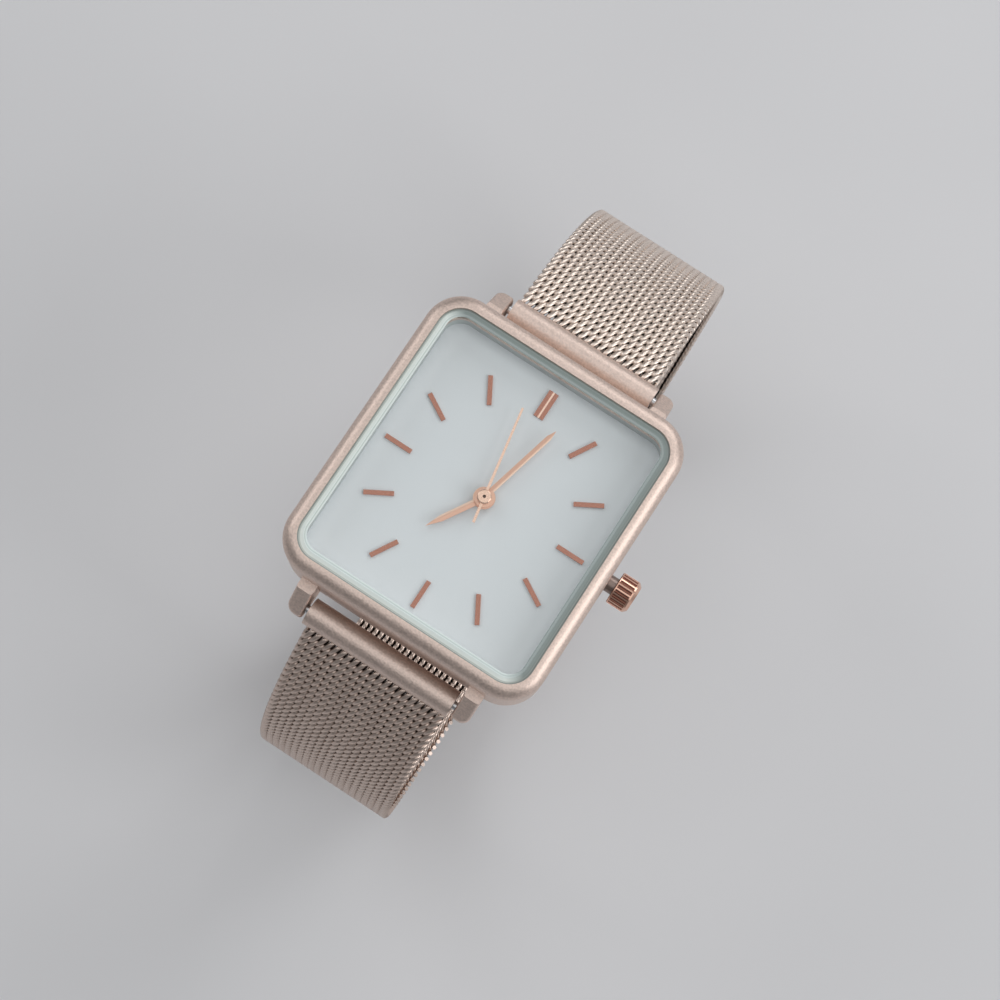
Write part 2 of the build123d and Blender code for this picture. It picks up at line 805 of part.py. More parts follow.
# Train bridge: closes the train on the posts and leaves room for the power cell
with BuildPart() as train_bridge:
    bridge_middle = ((bridge_right - bridge_left) / 2, (bridge_north - bridge_south) / 2)
    with BuildSketch(Plane((*bridge_middle, bridge_bottom_height))):
        RectangleRounded(bridge_left + bridge_right, bridge_south + bridge_north, bridge_corner_radius)
    extrude(amount=bridge_thickness)
    disc(battery_place, battery_radius + bridge_cell_gap, bridge_bottom_height, bridge_top, cut)
    for place in post_places:
        disc(place, movement_screw_radius, bridge_bottom_height, bridge_top, cut)
    pivot_hole_bottom = bridge_top - pivot_length - end_shake
    for place in (*train_places, (0, 0)):
        disc(place, pivot_radius + pivot_gap, pivot_hole_bottom, bridge_top, cut)
save(train_bridge, "train_bridge")

with BuildPart() as movement_screws:
    head_bottom = bridge_bottom_height - movement_screw_head_height
    for place in post_places:
        disc(place, movement_screw_head_radius, head_bottom, bridge_bottom_height)
        disc(place, movement_screw_radius, bridge_bottom_height, bridge_top + movement_screw_length)
        slot(place, 2 * movement_screw_head_radius, head_bottom, movement_screw_head_height / 2)
save(movement_screws, "movement_screws")

# Power cell and its contact strap
with BuildPart() as battery:
    disc(battery_place, battery_radius - battery_rim, battery_bottom, battery_bottom + battery_step)
    disc(battery_place, battery_radius, battery_bottom + battery_step, battery_top_height)
save(battery, "battery")

with BuildPart() as battery_clamp:
    clamp_right = battery_x + battery_radius + running_gap + clamp_thickness
    clamp_left = battery_x - battery_radius / 2
    clamp_span = about(battery_y, clamp_width)
    block((clamp_left, clamp_right), clamp_span, (battery_bottom - clamp_thickness, battery_bottom))
    leg_ends = (battery_bottom, plate_bottom_height)
    block((clamp_right - clamp_thickness, clamp_right), clamp_span, leg_ends)
save(battery_clamp, "battery_clamp")

# Circuit with its crystal can and chip
with BuildPart() as circuit_board:
    board_ends = (board_bottom, plate_bottom_height)
    block(about(0, board_width), about(board_y, board_length), board_ends)
save(circuit_board, "circuit_board")

with BuildPart() as quartz_can:
    rod((board_y, board_bottom - can_radius), can_radius, *about(can_x, can_length))
save(quartz_can, "quartz_can")

with BuildPart() as control_chip:
    chip_ends = (board_bottom - chip_height, board_bottom)
    block(about(chip_x, chip_width), about(board_y, chip_width), chip_ends)
save(control_chip, "control_chip")

# Stator: one iron loop through the coil, with a round eye about the rotor
stator_ends = (stator_height, stator_top)
core_ends = about(core_x, core_width)
with BuildPart() as stator:
    arm_x_ends = about(rotor_place[0], stator_arm_width)
    block(core_ends, (core_south_y, core_north_y), stator_ends)
    block((arm_x_ends[0], core_ends[1]), (core_south_y, core_south_y + stator_arm_width), stator_ends)
    block(arm_x_ends, (core_south_y, rotor_place[1]), stator_ends)
    block((rotor_place[0], core_ends[1]), (core_north_y - stator_arm_width, core_north_y), stator_ends)
    disc(rotor_place, stator_eye_radius, *stator_ends)
    disc(rotor_place, rotor_magnet_radius + stator_eye_gap, *stator_ends, cut)
save(stator, "stator")

with BuildPart() as coil_winding:
    coil_south, coil_north = about((core_south_y + core_north_y) / 2, coil_length)
    coil_height = stator_height + stator_thickness / 2
    for radius, start, end in (
        (coil_radius, coil_south, coil_north),
        (coil_flange_radius, coil_south, coil_south + coil_flange_thickness),
        (coil_flange_radius, coil_north - coil_flange_thickness, coil_north),
    ):
        with BuildSketch(Plane((core_x, start, coil_height), x_dir=(1, 0, 0), z_dir=(0, 1, 0))) as ring:
            Circle(radius)
        extrude(ring.sketch, amount=end - start)
    block(core_ends, (core_south_y, core_north_y), stator_ends, cut)
save(coil_winding, "coil_winding")

# Train from the rotor to the centre wheel
with BuildPart() as rotor:
    wheel(rotor_place, rotor_teeth, train_module, rotor_phase, rotor_pinion_height, rotor_magnet_height)
    magnet_top = rotor_magnet_height + rotor_magnet_thickness
    disc(rotor_place, rotor_magnet_radius, rotor_magnet_height, magnet_top)
    arbor(rotor_place)
save(rotor, "rotor")

with BuildPart() as intermediate_wheel:
    rim_top = intermediate_height + wheel_thickness
    leaf_top = fourth_height + wheel_thickness + pinion_overlap
    wheel(intermediate_place, intermediate_teeth, train_module, 0, intermediate_height, rim_top)
    wheel(
        intermediate_place,
        intermediate_pinion_teeth,
        fourth_module,
        intermediate_pinion_phase,
        rim_top,
        leaf_top,
    )
    arbor(intermediate_place)
save(intermediate_wheel, "intermediate_wheel")

with BuildPart() as fourth_wheel:
    rim_top = fourth_height + wheel_thickness
    leaf_top = third_height + wheel_thickness + pinion_overlap
    wheel((0, 0), fourth_teeth, fourth_module, 0, fourth_height, rim_top)
    wheel((0, 0), fourth_pinion_teeth, train_module, fourth_pinion_phase, rim_top, leaf_top)
    arbor_bottom = bridge_top + end_shake
    disc((0, 0), seconds_arbor_radius, arbor_bottom, seconds_hand_height + hand_thickness)
    disc((0, 0), pivot_radius, arbor_bottom - pivot_length, arbor_bottom)
save(fourth_wheel, "fourth_wheel")

with BuildPart() as third_wheel:
    rim_top = third_height + wheel_thickness
    leaf_top = centre_height + wheel_thickness + pinion_overlap / 2
    wheel(third_place, third_teeth, train_module, 0, third_height, rim_top)
    wheel(third_place, third_pinion_teeth, centre_module, third_pinion_phase, rim_top, leaf_top)
    arbor(third_place)
save(third_wheel, "third_wheel")

with BuildPart() as centre_wheel:
    tube_ends = (centre_height, minute_hand_height + hand_thickness)
    wheel((0, 0), centre_teeth, centre_module, 0, centre_height, centre_height + wheel_thickness)
    wheel((0, 0), cannon_teeth, train_module, 0, cannon_height, cannon_height + wheel_thickness)
    disc((0, 0), centre_tube_radius, *tube_ends)
    disc((0, 0), seconds_arbor_radius + running_gap, *tube_ends, cut)
save(centre_wheel, "centre_wheel")

# Motion work under the dial, from the minute hand's tube to the hour hand's
with BuildPart() as minute_wheel:
    rim_top = cannon_height + wheel_thickness
    leaf_top = hour_wheel_height + wheel_thickness + pinion_overlap
    wheel(minute_place, minute_teeth, train_module, minute_phase, cannon_height, rim_top)
    wheel(minute_place, minute_pinion_teeth, hour_module, 0, rim_top, leaf_top)
    disc(minute_place, stud_radius + running_gap, cannon_height, leaf_top, cut)
save(minute_wheel, "minute_wheel")

with BuildPart() as hour_wheel:
    tube_ends = (hour_wheel_height, hour_hand_height + hand_thickness)
    rim_top = hour_wheel_height + wheel_thickness
    wheel((0, 0), hour_teeth, hour_module, hour_phase, hour_wheel_height, rim_top)
    disc((0, 0), hour_tube_radius, *tube_ends)
    disc((0, 0), centre_tube_radius + running_gap, *tube_ends, cut)
save(hour_wheel, "hour_wheel")

with BuildPart() as setting_wheel:
    rim_top = cannon_height + wheel_thickness
    wheel(setting_place, setting_teeth, train_module, setting_phase, cannon_height, rim_top)
    disc(setting_place, stud_radius + running_gap, cannon_height, rim_top, cut)
save(setting_wheel, "setting_wheel")

# Hands: each is a flat blade on a round hub, pressed on its tube or arbor
with BuildPart() as hour_hand:
    hub_ends = (hour_hand_height, hour_hand_height + hub_thickness)
    blade(
        hour_hand_angle,
        hour_hand_height,
        hour_hand_length,
        hour_point_length,
        hour_hand_root_width,
        hour_hand_width,
    )
    disc((0, 0), hour_hub_radius, *hub_ends)
    disc((0, 0), hour_tube_radius, *hub_ends, cut)
save(hour_hand, "hour_hand")

with BuildPart() as minute_hand:
    hub_ends = (minute_hand_height, minute_hand_height + hub_thickness)
    blade(
        minute_hand_angle,
        minute_hand_height,
        minute_hand_length,
        minute_point_length,
        minute_hand_root_width,
        minute_hand_width,
    )
    disc((0, 0), minute_hub_radius, *hub_ends)
    disc((0, 0), centre_tube_radius, *hub_ends, cut)
save(minute_hand, "minute_hand")

with BuildPart() as seconds_hand:
    with BuildSketch(hand_plane(seconds_hand_angle, seconds_hand_height)):
        with BuildLine():
            Polyline(
                (-seconds_tail_length, seconds_tail_width / 2),
                (0, seconds_hand_width / 2),
                (seconds_hand_length, seconds_tip_width / 2),
                (seconds_hand_length, -seconds_tip_width / 2),
                (0, -seconds_hand_width / 2),
                (-seconds_tail_length, -seconds_tail_width / 2),
                close=True,
            )
        make_face()
    extrude(amount=hand_thickness)
    boss_top = seconds_hand_height + seconds_boss_height
    disc((0, 0), seconds_boss_radius, seconds_hand_height, boss_top)
    fillet(seconds_hand.edges().group_by(Axis.Z)[-1], seconds_boss_height / 3)
    arbor_top = seconds_hand_height + hand_thickness
    disc((0, 0), seconds_arbor_radius, seconds_hand_height, arbor_top, cut)
    disc((0, 0), seconds_pinhole_radius, boss_top - seconds_pinhole_depth, boss_top, cut)
save(seconds_hand, "seconds_hand")

# Crown with its tube and seal
with BuildPart() as crown_tube:
    rod(stem_line, crown_tube_radius, case_wall_x, crown_tube_end)
    rod(stem_line, crown_tube_radius - crown_tube_wall, case_wall_x, crown_tube_end, cut)
save(crown_tube, "crown_tube")

with BuildPart() as crown:
    rod(stem_line, crown_radius, crown_start, crown_end)
    chamfer(crown.edges().group_by(Axis.X)[-1], crown_chamfer)
    chamfer(crown.edges().group_by(Axis.X)[0], crown_rim / 2)
    flute_start = crown_start + crown_rim
    flute_end = crown_end - crown_chamfer - crown_rim
    for flute in range(crown_flutes):
        flute_y, flute_rise = polar(crown_radius, 360 * flute / crown_flutes)
        rod((flute_y, stem_height + flute_rise), flute_radius, flute_start, flute_end, cut)
    rod(stem_line, crown_radius - crown_wall, crown_start, crown_end - crown_end_wall, cut)
    rod(stem_line, stem_radius, crown_start, stem_tip_x, cut)
save(crown, "crown")

with BuildPart() as crown_gasket:
    gasket_start = crown_start + crown_rim
    gasket_end = gasket_start + crown_gasket_length
    rod(stem_line, crown_radius - crown_wall - running_gap, gasket_start, gasket_end)
    rod(stem_line, crown_tube_radius + running_gap, gasket_start, gasket_end, cut)
save(crown_gasket, "crown_gasket")

# Stem, the clutch that slides on its square, and the two levers that shift it
with BuildPart() as winding_stem:
    groove_ends = about(stem_groove_x, stem_groove_width)
    square_z_ends = about(stem_height, stem_square_side)
    rod(stem_line, stem_radius, stem_square_start, stem_tip_x)
    rod(stem_line, stem_radius, *groove_ends, cut)
    rod(stem_line, stem_groove_radius, *groove_ends)
    block((stem_square_end, stem_square_start), about(0, stem_square_side), square_z_ends)
save(winding_stem, "winding_stem")

with BuildPart() as clutch_wheel:
    clutch_end = clutch_start + clutch_length
    clutch_module = 2 * clutch_radius / (clutch_teeth + 2 * addendum_share)
    clutch_plane = Plane((clutch_start, *stem_line), x_dir=(0, 1, 0), z_dir=(1, 0, 0))
    toothed_disc(clutch_plane, clutch_teeth, clutch_module, 0, clutch_flange)
    rod(stem_line, clutch_neck_radius, clutch_start, clutch_end)
    rod(stem_line, clutch_radius, clutch_end - clutch_flange, clutch_end)
    bore_side = stem_square_side + 2 * running_gap
    block((clutch_start, clutch_end), about(0, bore_side), about(stem_height, bore_side), cut)
save(clutch_wheel, "clutch_wheel")

with BuildPart() as setting_lever:
    lever_bar(setting_lever_pivot, (stem_groove_x, 0), lever_width)
    pin_bottom = stem_height + stem_groove_radius + running_gap
    disc((stem_groove_x, 0), setting_pin_radius, pin_bottom, cannon_height)
save(setting_lever, "setting_lever")

with BuildPart() as yoke:
    lever_bar(yoke_pivot, (yoke_x, 0), yoke_tip_width)
save(yoke, "yoke")

# Spring bars: a sleeve in each strap tube, a sprung tip at each end, and the spring between them.
# A flat lip on the tube clamps the strap.
half_bar = bar_length / 2
hollow_end = half_bar - bar_end_wall
flange_end = hollow_end - pivot_gap
spring_half = hollow_end - tip_flange_length - tip_travel - running_gap
for hour_name, y_side in (("12", 1), ("6", -1)):
    bar_line = (y_side * bar_y, bar_axis_height)
    with BuildPart() as spring_bar:
        rod(bar_line, bar_radius, -half_bar, half_bar)
        rod(bar_line, bar_radius - bar_wall, -hollow_end, hollow_end, cut)
        rod(bar_line, tip_radius + running_gap, -half_bar, half_bar, cut)
    save(spring_bar, f"spring_bar_{hour_name}")

    with BuildPart() as bar_spring:
        rod(bar_line, bar_spring_radius, -spring_half, spring_half)
        rod(bar_line, bar_spring_radius - bar_spring_wall, -spring_half, spring_half, cut)
    save(bar_spring, f"spring_bar_spring_{hour_name}")

    for side_name, side in (("right", 1), ("left", -1)):
        with BuildPart() as bar_tip:
            rod(bar_line, tip_flange_radius, side * (flange_end - tip_flange_length), side * flange_end)
            rod(bar_line, tip_radius, side * flange_end, side * (lug_inner_x + tip_engagement))
        save(bar_tip, f"spring_bar_tip_{hour_name}_{side_name}")

    with BuildPart() as strap_tube:
        rod(bar_line, tube_radius, *about(0, tube_length))
        rod(bar_line, bar_radius + slip_gap, *about(0, tube_length), cut)
    save(strap_tube, f"strap_tube_{hour_name}")

# Strap halves, and the metal cap on the free end of the inner one
with BuildPart() as mesh_12:
    strap_strip(1, -strap_12_angle, strap_12_legs)
save(mesh_12, "mesh_12")

with BuildPart() as mesh_6:
    strap_strip(-1, 180 + strap_6_angle, strap_6_legs)
save(mesh_6, "mesh_6")

with BuildPart() as mesh_tip_cap:
    cap_start = strap_6_end_y - end_cap_length
    cap_end = strap_6_end_y + end_cap_wall
    cap_width = strap_width + 2 * end_cap_wall
    cap_height = strap_thickness + 2 * end_cap_wall
    block(about(0, cap_width), (cap_start, cap_end), about(inner_strap_height, cap_height))
    strap_z_ends = (inner_strap_bottom, inner_strap_top)
    block(about(0, strap_width), (cap_start, strap_6_end_y), strap_z_ends, cut)
save(mesh_tip_cap, "mesh_tip_cap")

# Clasp frame: slides on the inner strap and carries the crossbar and the locking flap
with BuildPart() as clasp_frame:
    frame_y_ends = (frame_south_y, frame_north_y)
    frame_bottom = frame_top - frame_depth
    block(about(0, 2 * frame_half), frame_y_ends, (frame_bottom, frame_top))
    block(about(0, 2 * frame_inner_half), frame_y_ends, (frame_bottom, frame_top - frame_wall), cut)
    crossbar_line = (crossbar_y, inner_strap_bottom - crossbar_drop - crossbar_radius)
    rod(crossbar_line, crossbar_radius, -frame_inner_half, frame_inner_half)
    rod(flap_line, flap_pin_radius, -frame_half, frame_half, cut)
save(clasp_frame, "clasp_frame")

with BuildPart() as clasp_flap_pin:
    rod(flap_line, flap_pin_radius, -frame_half, frame_half)
save(clasp_flap_pin, "clasp_flap_pin")

with BuildPart() as clasp_lock_flap:
    flap_half = frame_inner_half - slip_gap
    flap_bottom = flap_line[1] - flap_cam_radius
    flap_z_ends = (flap_bottom, flap_bottom + flap_thickness)
    rod(flap_line, flap_cam_radius, -flap_half, flap_half)
    block((-flap_half, flap_half), (flap_pin_y, flap_pin_y + flap_length), flap_z_ends)
    rod(flap_line, flap_pin_radius + running_gap, -flap_half, flap_half, cut)
save(clasp_lock_flap, "clasp_lock_flap")

# Clasp end piece: crimped on the outer strap's end, with the hook and the cover's middle knuckle
with BuildPart() as clasp_end_piece:
    strap_x_ends = (-strap_half, strap_half)
    hook_x_ends = about(0, hook_width)
    knuckle_x_ends = (-middle_knuckle_half, middle_knuckle_half)
    end_piece_x_ends = (-end_piece_half, end_piece_half)
    end_piece_z_ends = (end_piece_bottom, end_piece_top)
    slot_z_ends = (outer_strap_bottom, outer_strap_top)
    hook_z_ends = (end_piece_bottom, outer_strap_bottom)
    lip_y_ends = (hook_south_y, hook_south_y + end_piece_wall)
    lip_z_ends = (outer_strap_bottom, outer_strap_bottom + hook_lip_height)
    tab_z_ends = (end_piece_bottom, outer_strap_bottom - slip_gap)
    block(end_piece_x_ends, (end_piece_south_y, end_piece_north_y), end_piece_z_ends)
    block(strap_x_ends, (strap_12_end_y, end_piece_north_y), slot_z_ends, cut)
    block(hook_x_ends, (hook_south_y, end_piece_south_y), hook_z_ends)
    block(hook_x_ends, lip_y_ends, lip_z_ends)
    block(knuckle_x_ends, (end_piece_north_y, cover_hinge_y), tab_z_ends)
    rod(cover_line, cover_knuckle_radius, *knuckle_x_ends)
    rod(cover_line, cover_pin_radius, *knuckle_x_ends, cut)
save(clasp_end_piece, "clasp_end_piece")

with BuildPart() as clasp_cover_pin:
    rod(cover_line, cover_pin_radius, -cover_inner_half, cover_inner_half)
save(clasp_cover_pin, "clasp_cover_pin")

# Clasp cover: folds over the frame and lies outermost, under the wrist
with BuildPart() as clasp_cover:
    cover_length = cover_hinge_y - cover_south_y
    with BuildSketch(Plane((0, cover_south_y + cover_length / 2, cover_bottom))) as cover_outline:
        Rectangle(2 * cover_half, cover_length)
        fillet(cover_outline.vertices().group_by(Axis.Y)[0], cover_corner_radius)
    extrude(amount=cover_thickness)
    plate_z_ends = (cover_bottom, cover_plate_top)
    side_z_ends = (cover_plate_top, cover_plate_top + cover_side_height)
    side_y_ends = (cover_south_y + cover_corner_radius, cover_side_north_y)
    gap_half = middle_knuckle_half + slip_gap
    gap_y_ends = (cover_hinge_y - cover_knuckle_radius - slip_gap, cover_hinge_y)
    block((-gap_half, gap_half), gap_y_ends, plate_z_ends, cut)
    for side in (1, -1):
        block((side * cover_inner_half, side * cover_half), side_y_ends, side_z_ends)
        rod(cover_line, cover_knuckle_radius, side * gap_half, side * cover_inner_half)
        bore_radius = cover_pin_radius + running_gap
        rod(cover_line, bore_radius, side * gap_half, side * cover_inner_half, cut)
    lip_y_ends = (cover_south_y, cover_south_y + cover_side_wall)
    lip_z_ends = (cover_plate_top, cover_plate_top + cover_lip_height)
    block((-cover_inner_half, cover_inner_half), lip_y_ends, lip_z_ends)
save(clasp_cover, "clasp_cover")
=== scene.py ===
import json
from math import ceil, copysign, cos, pi, radians, sin, tan

import bpy
from mathutils import Matrix, Vector


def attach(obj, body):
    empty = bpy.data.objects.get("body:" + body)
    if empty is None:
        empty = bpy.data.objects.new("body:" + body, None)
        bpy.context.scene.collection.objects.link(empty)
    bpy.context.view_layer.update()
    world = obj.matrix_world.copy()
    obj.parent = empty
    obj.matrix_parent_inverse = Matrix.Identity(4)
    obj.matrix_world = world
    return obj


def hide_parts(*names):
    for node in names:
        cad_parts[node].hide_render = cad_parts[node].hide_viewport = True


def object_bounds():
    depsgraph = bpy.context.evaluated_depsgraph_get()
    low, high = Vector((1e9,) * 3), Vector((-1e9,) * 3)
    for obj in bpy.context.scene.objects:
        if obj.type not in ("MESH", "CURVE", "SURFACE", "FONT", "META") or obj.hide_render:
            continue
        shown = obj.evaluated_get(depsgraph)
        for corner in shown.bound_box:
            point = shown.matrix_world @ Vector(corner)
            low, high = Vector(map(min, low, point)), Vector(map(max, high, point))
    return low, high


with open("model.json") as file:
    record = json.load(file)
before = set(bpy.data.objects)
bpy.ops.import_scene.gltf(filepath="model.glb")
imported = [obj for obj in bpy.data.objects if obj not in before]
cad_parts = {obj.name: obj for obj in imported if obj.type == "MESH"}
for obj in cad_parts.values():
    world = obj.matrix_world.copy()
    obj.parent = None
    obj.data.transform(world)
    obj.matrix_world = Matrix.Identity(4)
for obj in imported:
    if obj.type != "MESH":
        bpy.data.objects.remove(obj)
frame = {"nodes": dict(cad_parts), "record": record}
cad_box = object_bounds()

# Lengths are metres. The origin is the middle of the case back, +Z goes out through the
# dial, +Y to 12 o'clock and +X to the crown.
MM = 0.001

# Woven strap: one flattened coil of round wire for each row, across the strap
strap_width = 14.8 * MM
wire_radius = 0.235 * MM
coil_reach = 0.67 * MM
coil_rise = 0.46 * MM
rolled_height = 0.54 * MM
rolled_share = 0.2
coil_lean = 0.42
back_step_share = 0.8
column_count = 21
row_pitch = 0.86 * MM
steps_in_turn = 12
rows_in_piece = 48

# The strap halves' middle lines, from the spring bars round the wrist
bar_reach = 16.35 * MM
strap_start = 1.8 * MM
strap_lead = 1.7 * MM
tube_radius = 1.3 * MM
angle_12 = radians(15.0)
radius_12 = 22.4 * MM
outer_height = -42.7 * MM
end_12 = 5.2 * MM
angle_6 = radians(40.4)
radius_6 = 27.5 * MM
low_share_6 = 0.75
inner_height = -40.5 * MM
end_6 = 5.8 * MM
arc_step = radians(30.0)
steps_in_arc = 32

# The crystal's bevel: where it begins, how wide it is and how softly it starts
bevel_inner_x = 11.0 * MM
bevel_inner_y = 12.2 * MM
corner_radius = 1.5 * MM
bevel_width = 1.15 * MM
bevel_softness = 0.2 * MM
bevel_share = 0.9
# How brightly the bevel glows: painted light, as there is no lamp in the glass.
painted_bevel_glow = 0.55
bevel_roughness = 0.35
glass_roughness = 0.03
glass_ior = 1.5

# Hands and 12 o'clock baton: hubs, the pinhole's painted shade, ground ridges, the hands' painted lit
# slopes and the baton's polished line painted as a highlight
hour_angle = radians(211.2)
minute_angle = radians(13.8)
hub_reach = 0.95 * MM
pinhole_reach = 0.15 * MM
ridge_place = 0.05 * MM
ridge_slope_width = 0.3 * MM
ridge_depth = 0.05 * MM
lit_slope_start = 0.07 * MM
noon_highlight_width = 0.17 * MM

# The crown's axis, and where its flutes lie
crown_axis_height = 3.5 * MM
ridge_reach = 1.49 * MM
flute_end = 15.41 * MM

# Grain and patterns that the finishes share
smear_size = 6.0 * MM
metal_cloud = 4.0 * MM
plastic_cloud = 3.0 * MM
plastic_grain = 0.2 * MM
plastic_depth = 0.004 * MM
dial_cloud = 9.0 * MM
dial_grain = 0.06 * MM
dial_depth = 0.0006 * MM
dial_speck_share = 0.3
turned_grain = 0.15 * MM
turned_ring_share = 0.3
hand_grain = 0.1 * MM
mark_grain = 0.08 * MM
crown_grain = 0.15 * MM
mesh_grain = 0.12 * MM
mesh_bump = 0.003 * MM
# How dark the painted shade down between the strap's wires is, as a share of the wire's colour.
mesh_painted_shade_share = 0.12
polish_depth = 0.001 * MM
coil_pitch = 0.06 * MM
coil_depth = 0.01 * MM
board_weave = 0.2 * MM
board_cloud = 1.5 * MM
board_depth = 0.004 * MM
floor_cloud = 60.0 * MM

# Colours, and the tones of a few finishes from one end of a pattern to the other
black = (0.0, 0.0, 0.0)
white = (1.0, 1.0, 1.0)
rose = (0.75, 0.61, 0.54)
# The strap wire's rose in two copies: painted lighter for the 12 o'clock half, and darker and redder as
# painted shade for the 6 o'clock half.
painted_lit_mesh_rose = (0.82, 0.705, 0.625)
painted_shade_mesh_rose = (0.64, 0.52, 0.455)
copper_rose = (0.84, 0.53, 0.41)
hand_copper = (0.80, 0.47, 0.355)
# The hands' lit slope, painted lighter as a highlight.
lit_copper = (0.92, 0.65, 0.52)
seconds_copper = (0.93, 0.62, 0.49)
mark_copper = (0.46, 0.20, 0.145)
# The 12 o'clock baton's polished line, painted bright as a highlight.
painted_highlight_copper = (0.95, 0.66, 0.54)
# The crown's flutes, painted dark as shade.
flute_painted_shade = (0.24, 0.105, 0.075)
# The seconds hand's pinhole, painted dark as shade.
pinhole_painted_shade = (0.09, 0.05, 0.04)
glass_tint = (0.975, 0.99, 0.985)
# The crystal bevel's painted light: a dark body and glow for its shaded sides, a pale glow for its lit
# sides, each with a fine line colour.
painted_shade_bevel_body = (0.14, 0.17, 0.17)
painted_lit_bevel = (0.54, 0.60, 0.585)
painted_lit_bevel_line = (0.33, 0.385, 0.37)
painted_shade_bevel = (0.19, 0.225, 0.215)
painted_shade_bevel_line = (0.33, 0.37, 0.36)
dial_tones = ((0.3, (0.75, 0.755, 0.79)), (0.7, (0.78, 0.785, 0.82)))
dial_specks = ((0.3, (0.72, 0.725, 0.76)), (0.7, (0.81, 0.815, 0.85)))
# The coil wire's colour: dark where shade is painted between its turns, copper on them.
coil_painted_shade_tones = ((0.1, (0.30, 0.10, 0.04)), (0.7, (0.78, 0.34, 0.16)))
board_tones = ((0.3, (0.012, 0.10, 0.045)), (0.7, (0.02, 0.16, 0.07)))
floor_tones = ((0.3, (0.67, 0.67, 0.685)), (0.7, (0.70, 0.70, 0.715)))
bevel_lines = (
    (0.0, black),
    (0.16, white),
    (0.24, black),
    (0.5, black),
    (0.58, white),
    (0.66, black),
)

# The camera, as the photograph was taken
camera_place = Vector((11.94, -27.95, 178.10)) * MM
camera_right = Vector((0.83776, 0.5447, 0.03833))
camera_down = Vector((0.54264, -0.82264, -0.16974))
camera_forward = Vector((-0.06093, 0.163, -0.98474))
lens_mm = 72.0
nearest_seen = 10.0 * MM

# The studio
floor_size = 3.0
floor_cells = 4
backdrop_colour = (0.96, 0.98, 1.0)
backdrop_strength = 0.2

# A Mix node's share, two colours and result
mix_share, mix_first, mix_second, mix_result = 0, 6, 7, 2


def deselect():
    """Nothing is left selected or in edit mode."""
    if bpy.context.object and bpy.context.object.mode != "OBJECT":
        bpy.ops.object.mode_set(mode="OBJECT")
    bpy.ops.object.select_all(action="DESELECT")


def feed(tree, socket, value):
    """Links a signal to a socket, or gives the socket a constant. A colour gets its alpha."""
    if isinstance(value, Signal):
        tree.links.new(value.socket, socket)
    elif socket.type == "RGBA":
        socket.default_value = (*value, 1)
    else:
        socket.default_value = value


class Signal:
    """A shader socket that can stand in a sum, a product or a comparison."""

    def __init__(self, tree, socket):
        self.tree = tree
        self.socket = socket

    def math(self, operation, first, second=0):
        step = self.tree.nodes.new("ShaderNodeMath")
        step.operation = operation
        feed(self.tree, step.inputs[0], first)
        feed(self.tree, step.inputs[1], second)
        return Signal(self.tree, step.outputs[0])

    def __add__(self, other):
        return self.math("ADD", self, other)

    def __radd__(self, other):
        return self.math("ADD", other, self)

    def __sub__(self, other):
        return self.math("SUBTRACT", self, other)

    def __rsub__(self, other):
        return self.math("SUBTRACT", other, self)

    def __mul__(self, other):
        return self.math("MULTIPLY", self, other)

    def __rmul__(self, other):
        return self.math("MULTIPLY", other, self)

    def __truediv__(self, other):
        return self.math("DIVIDE", self, other)

    def __rtruediv__(self, other):
        return self.math("DIVIDE", other, self)

    def __gt__(self, other):
        return self.math("GREATER_THAN", self, other)

    def __lt__(self, other):
        return self.math("LESS_THAN", self, other)

    def __abs__(self):
        return self.math("ABSOLUTE", self)

    def at_least(self, other):
        return self.math("MAXIMUM", self, other)

    def root(self):
        return self.math("SQRT", self)

    def sine(self):
        return self.math("SINE", self)


def distance(across, along):
    """How far a place is from the middle, from its two signals."""
    return (across * across + along * along).root()


def shade(colour, share):
    """A colour made lighter or darker by a share."""
    return tuple(min(1.0, channel * share) for channel in colour)


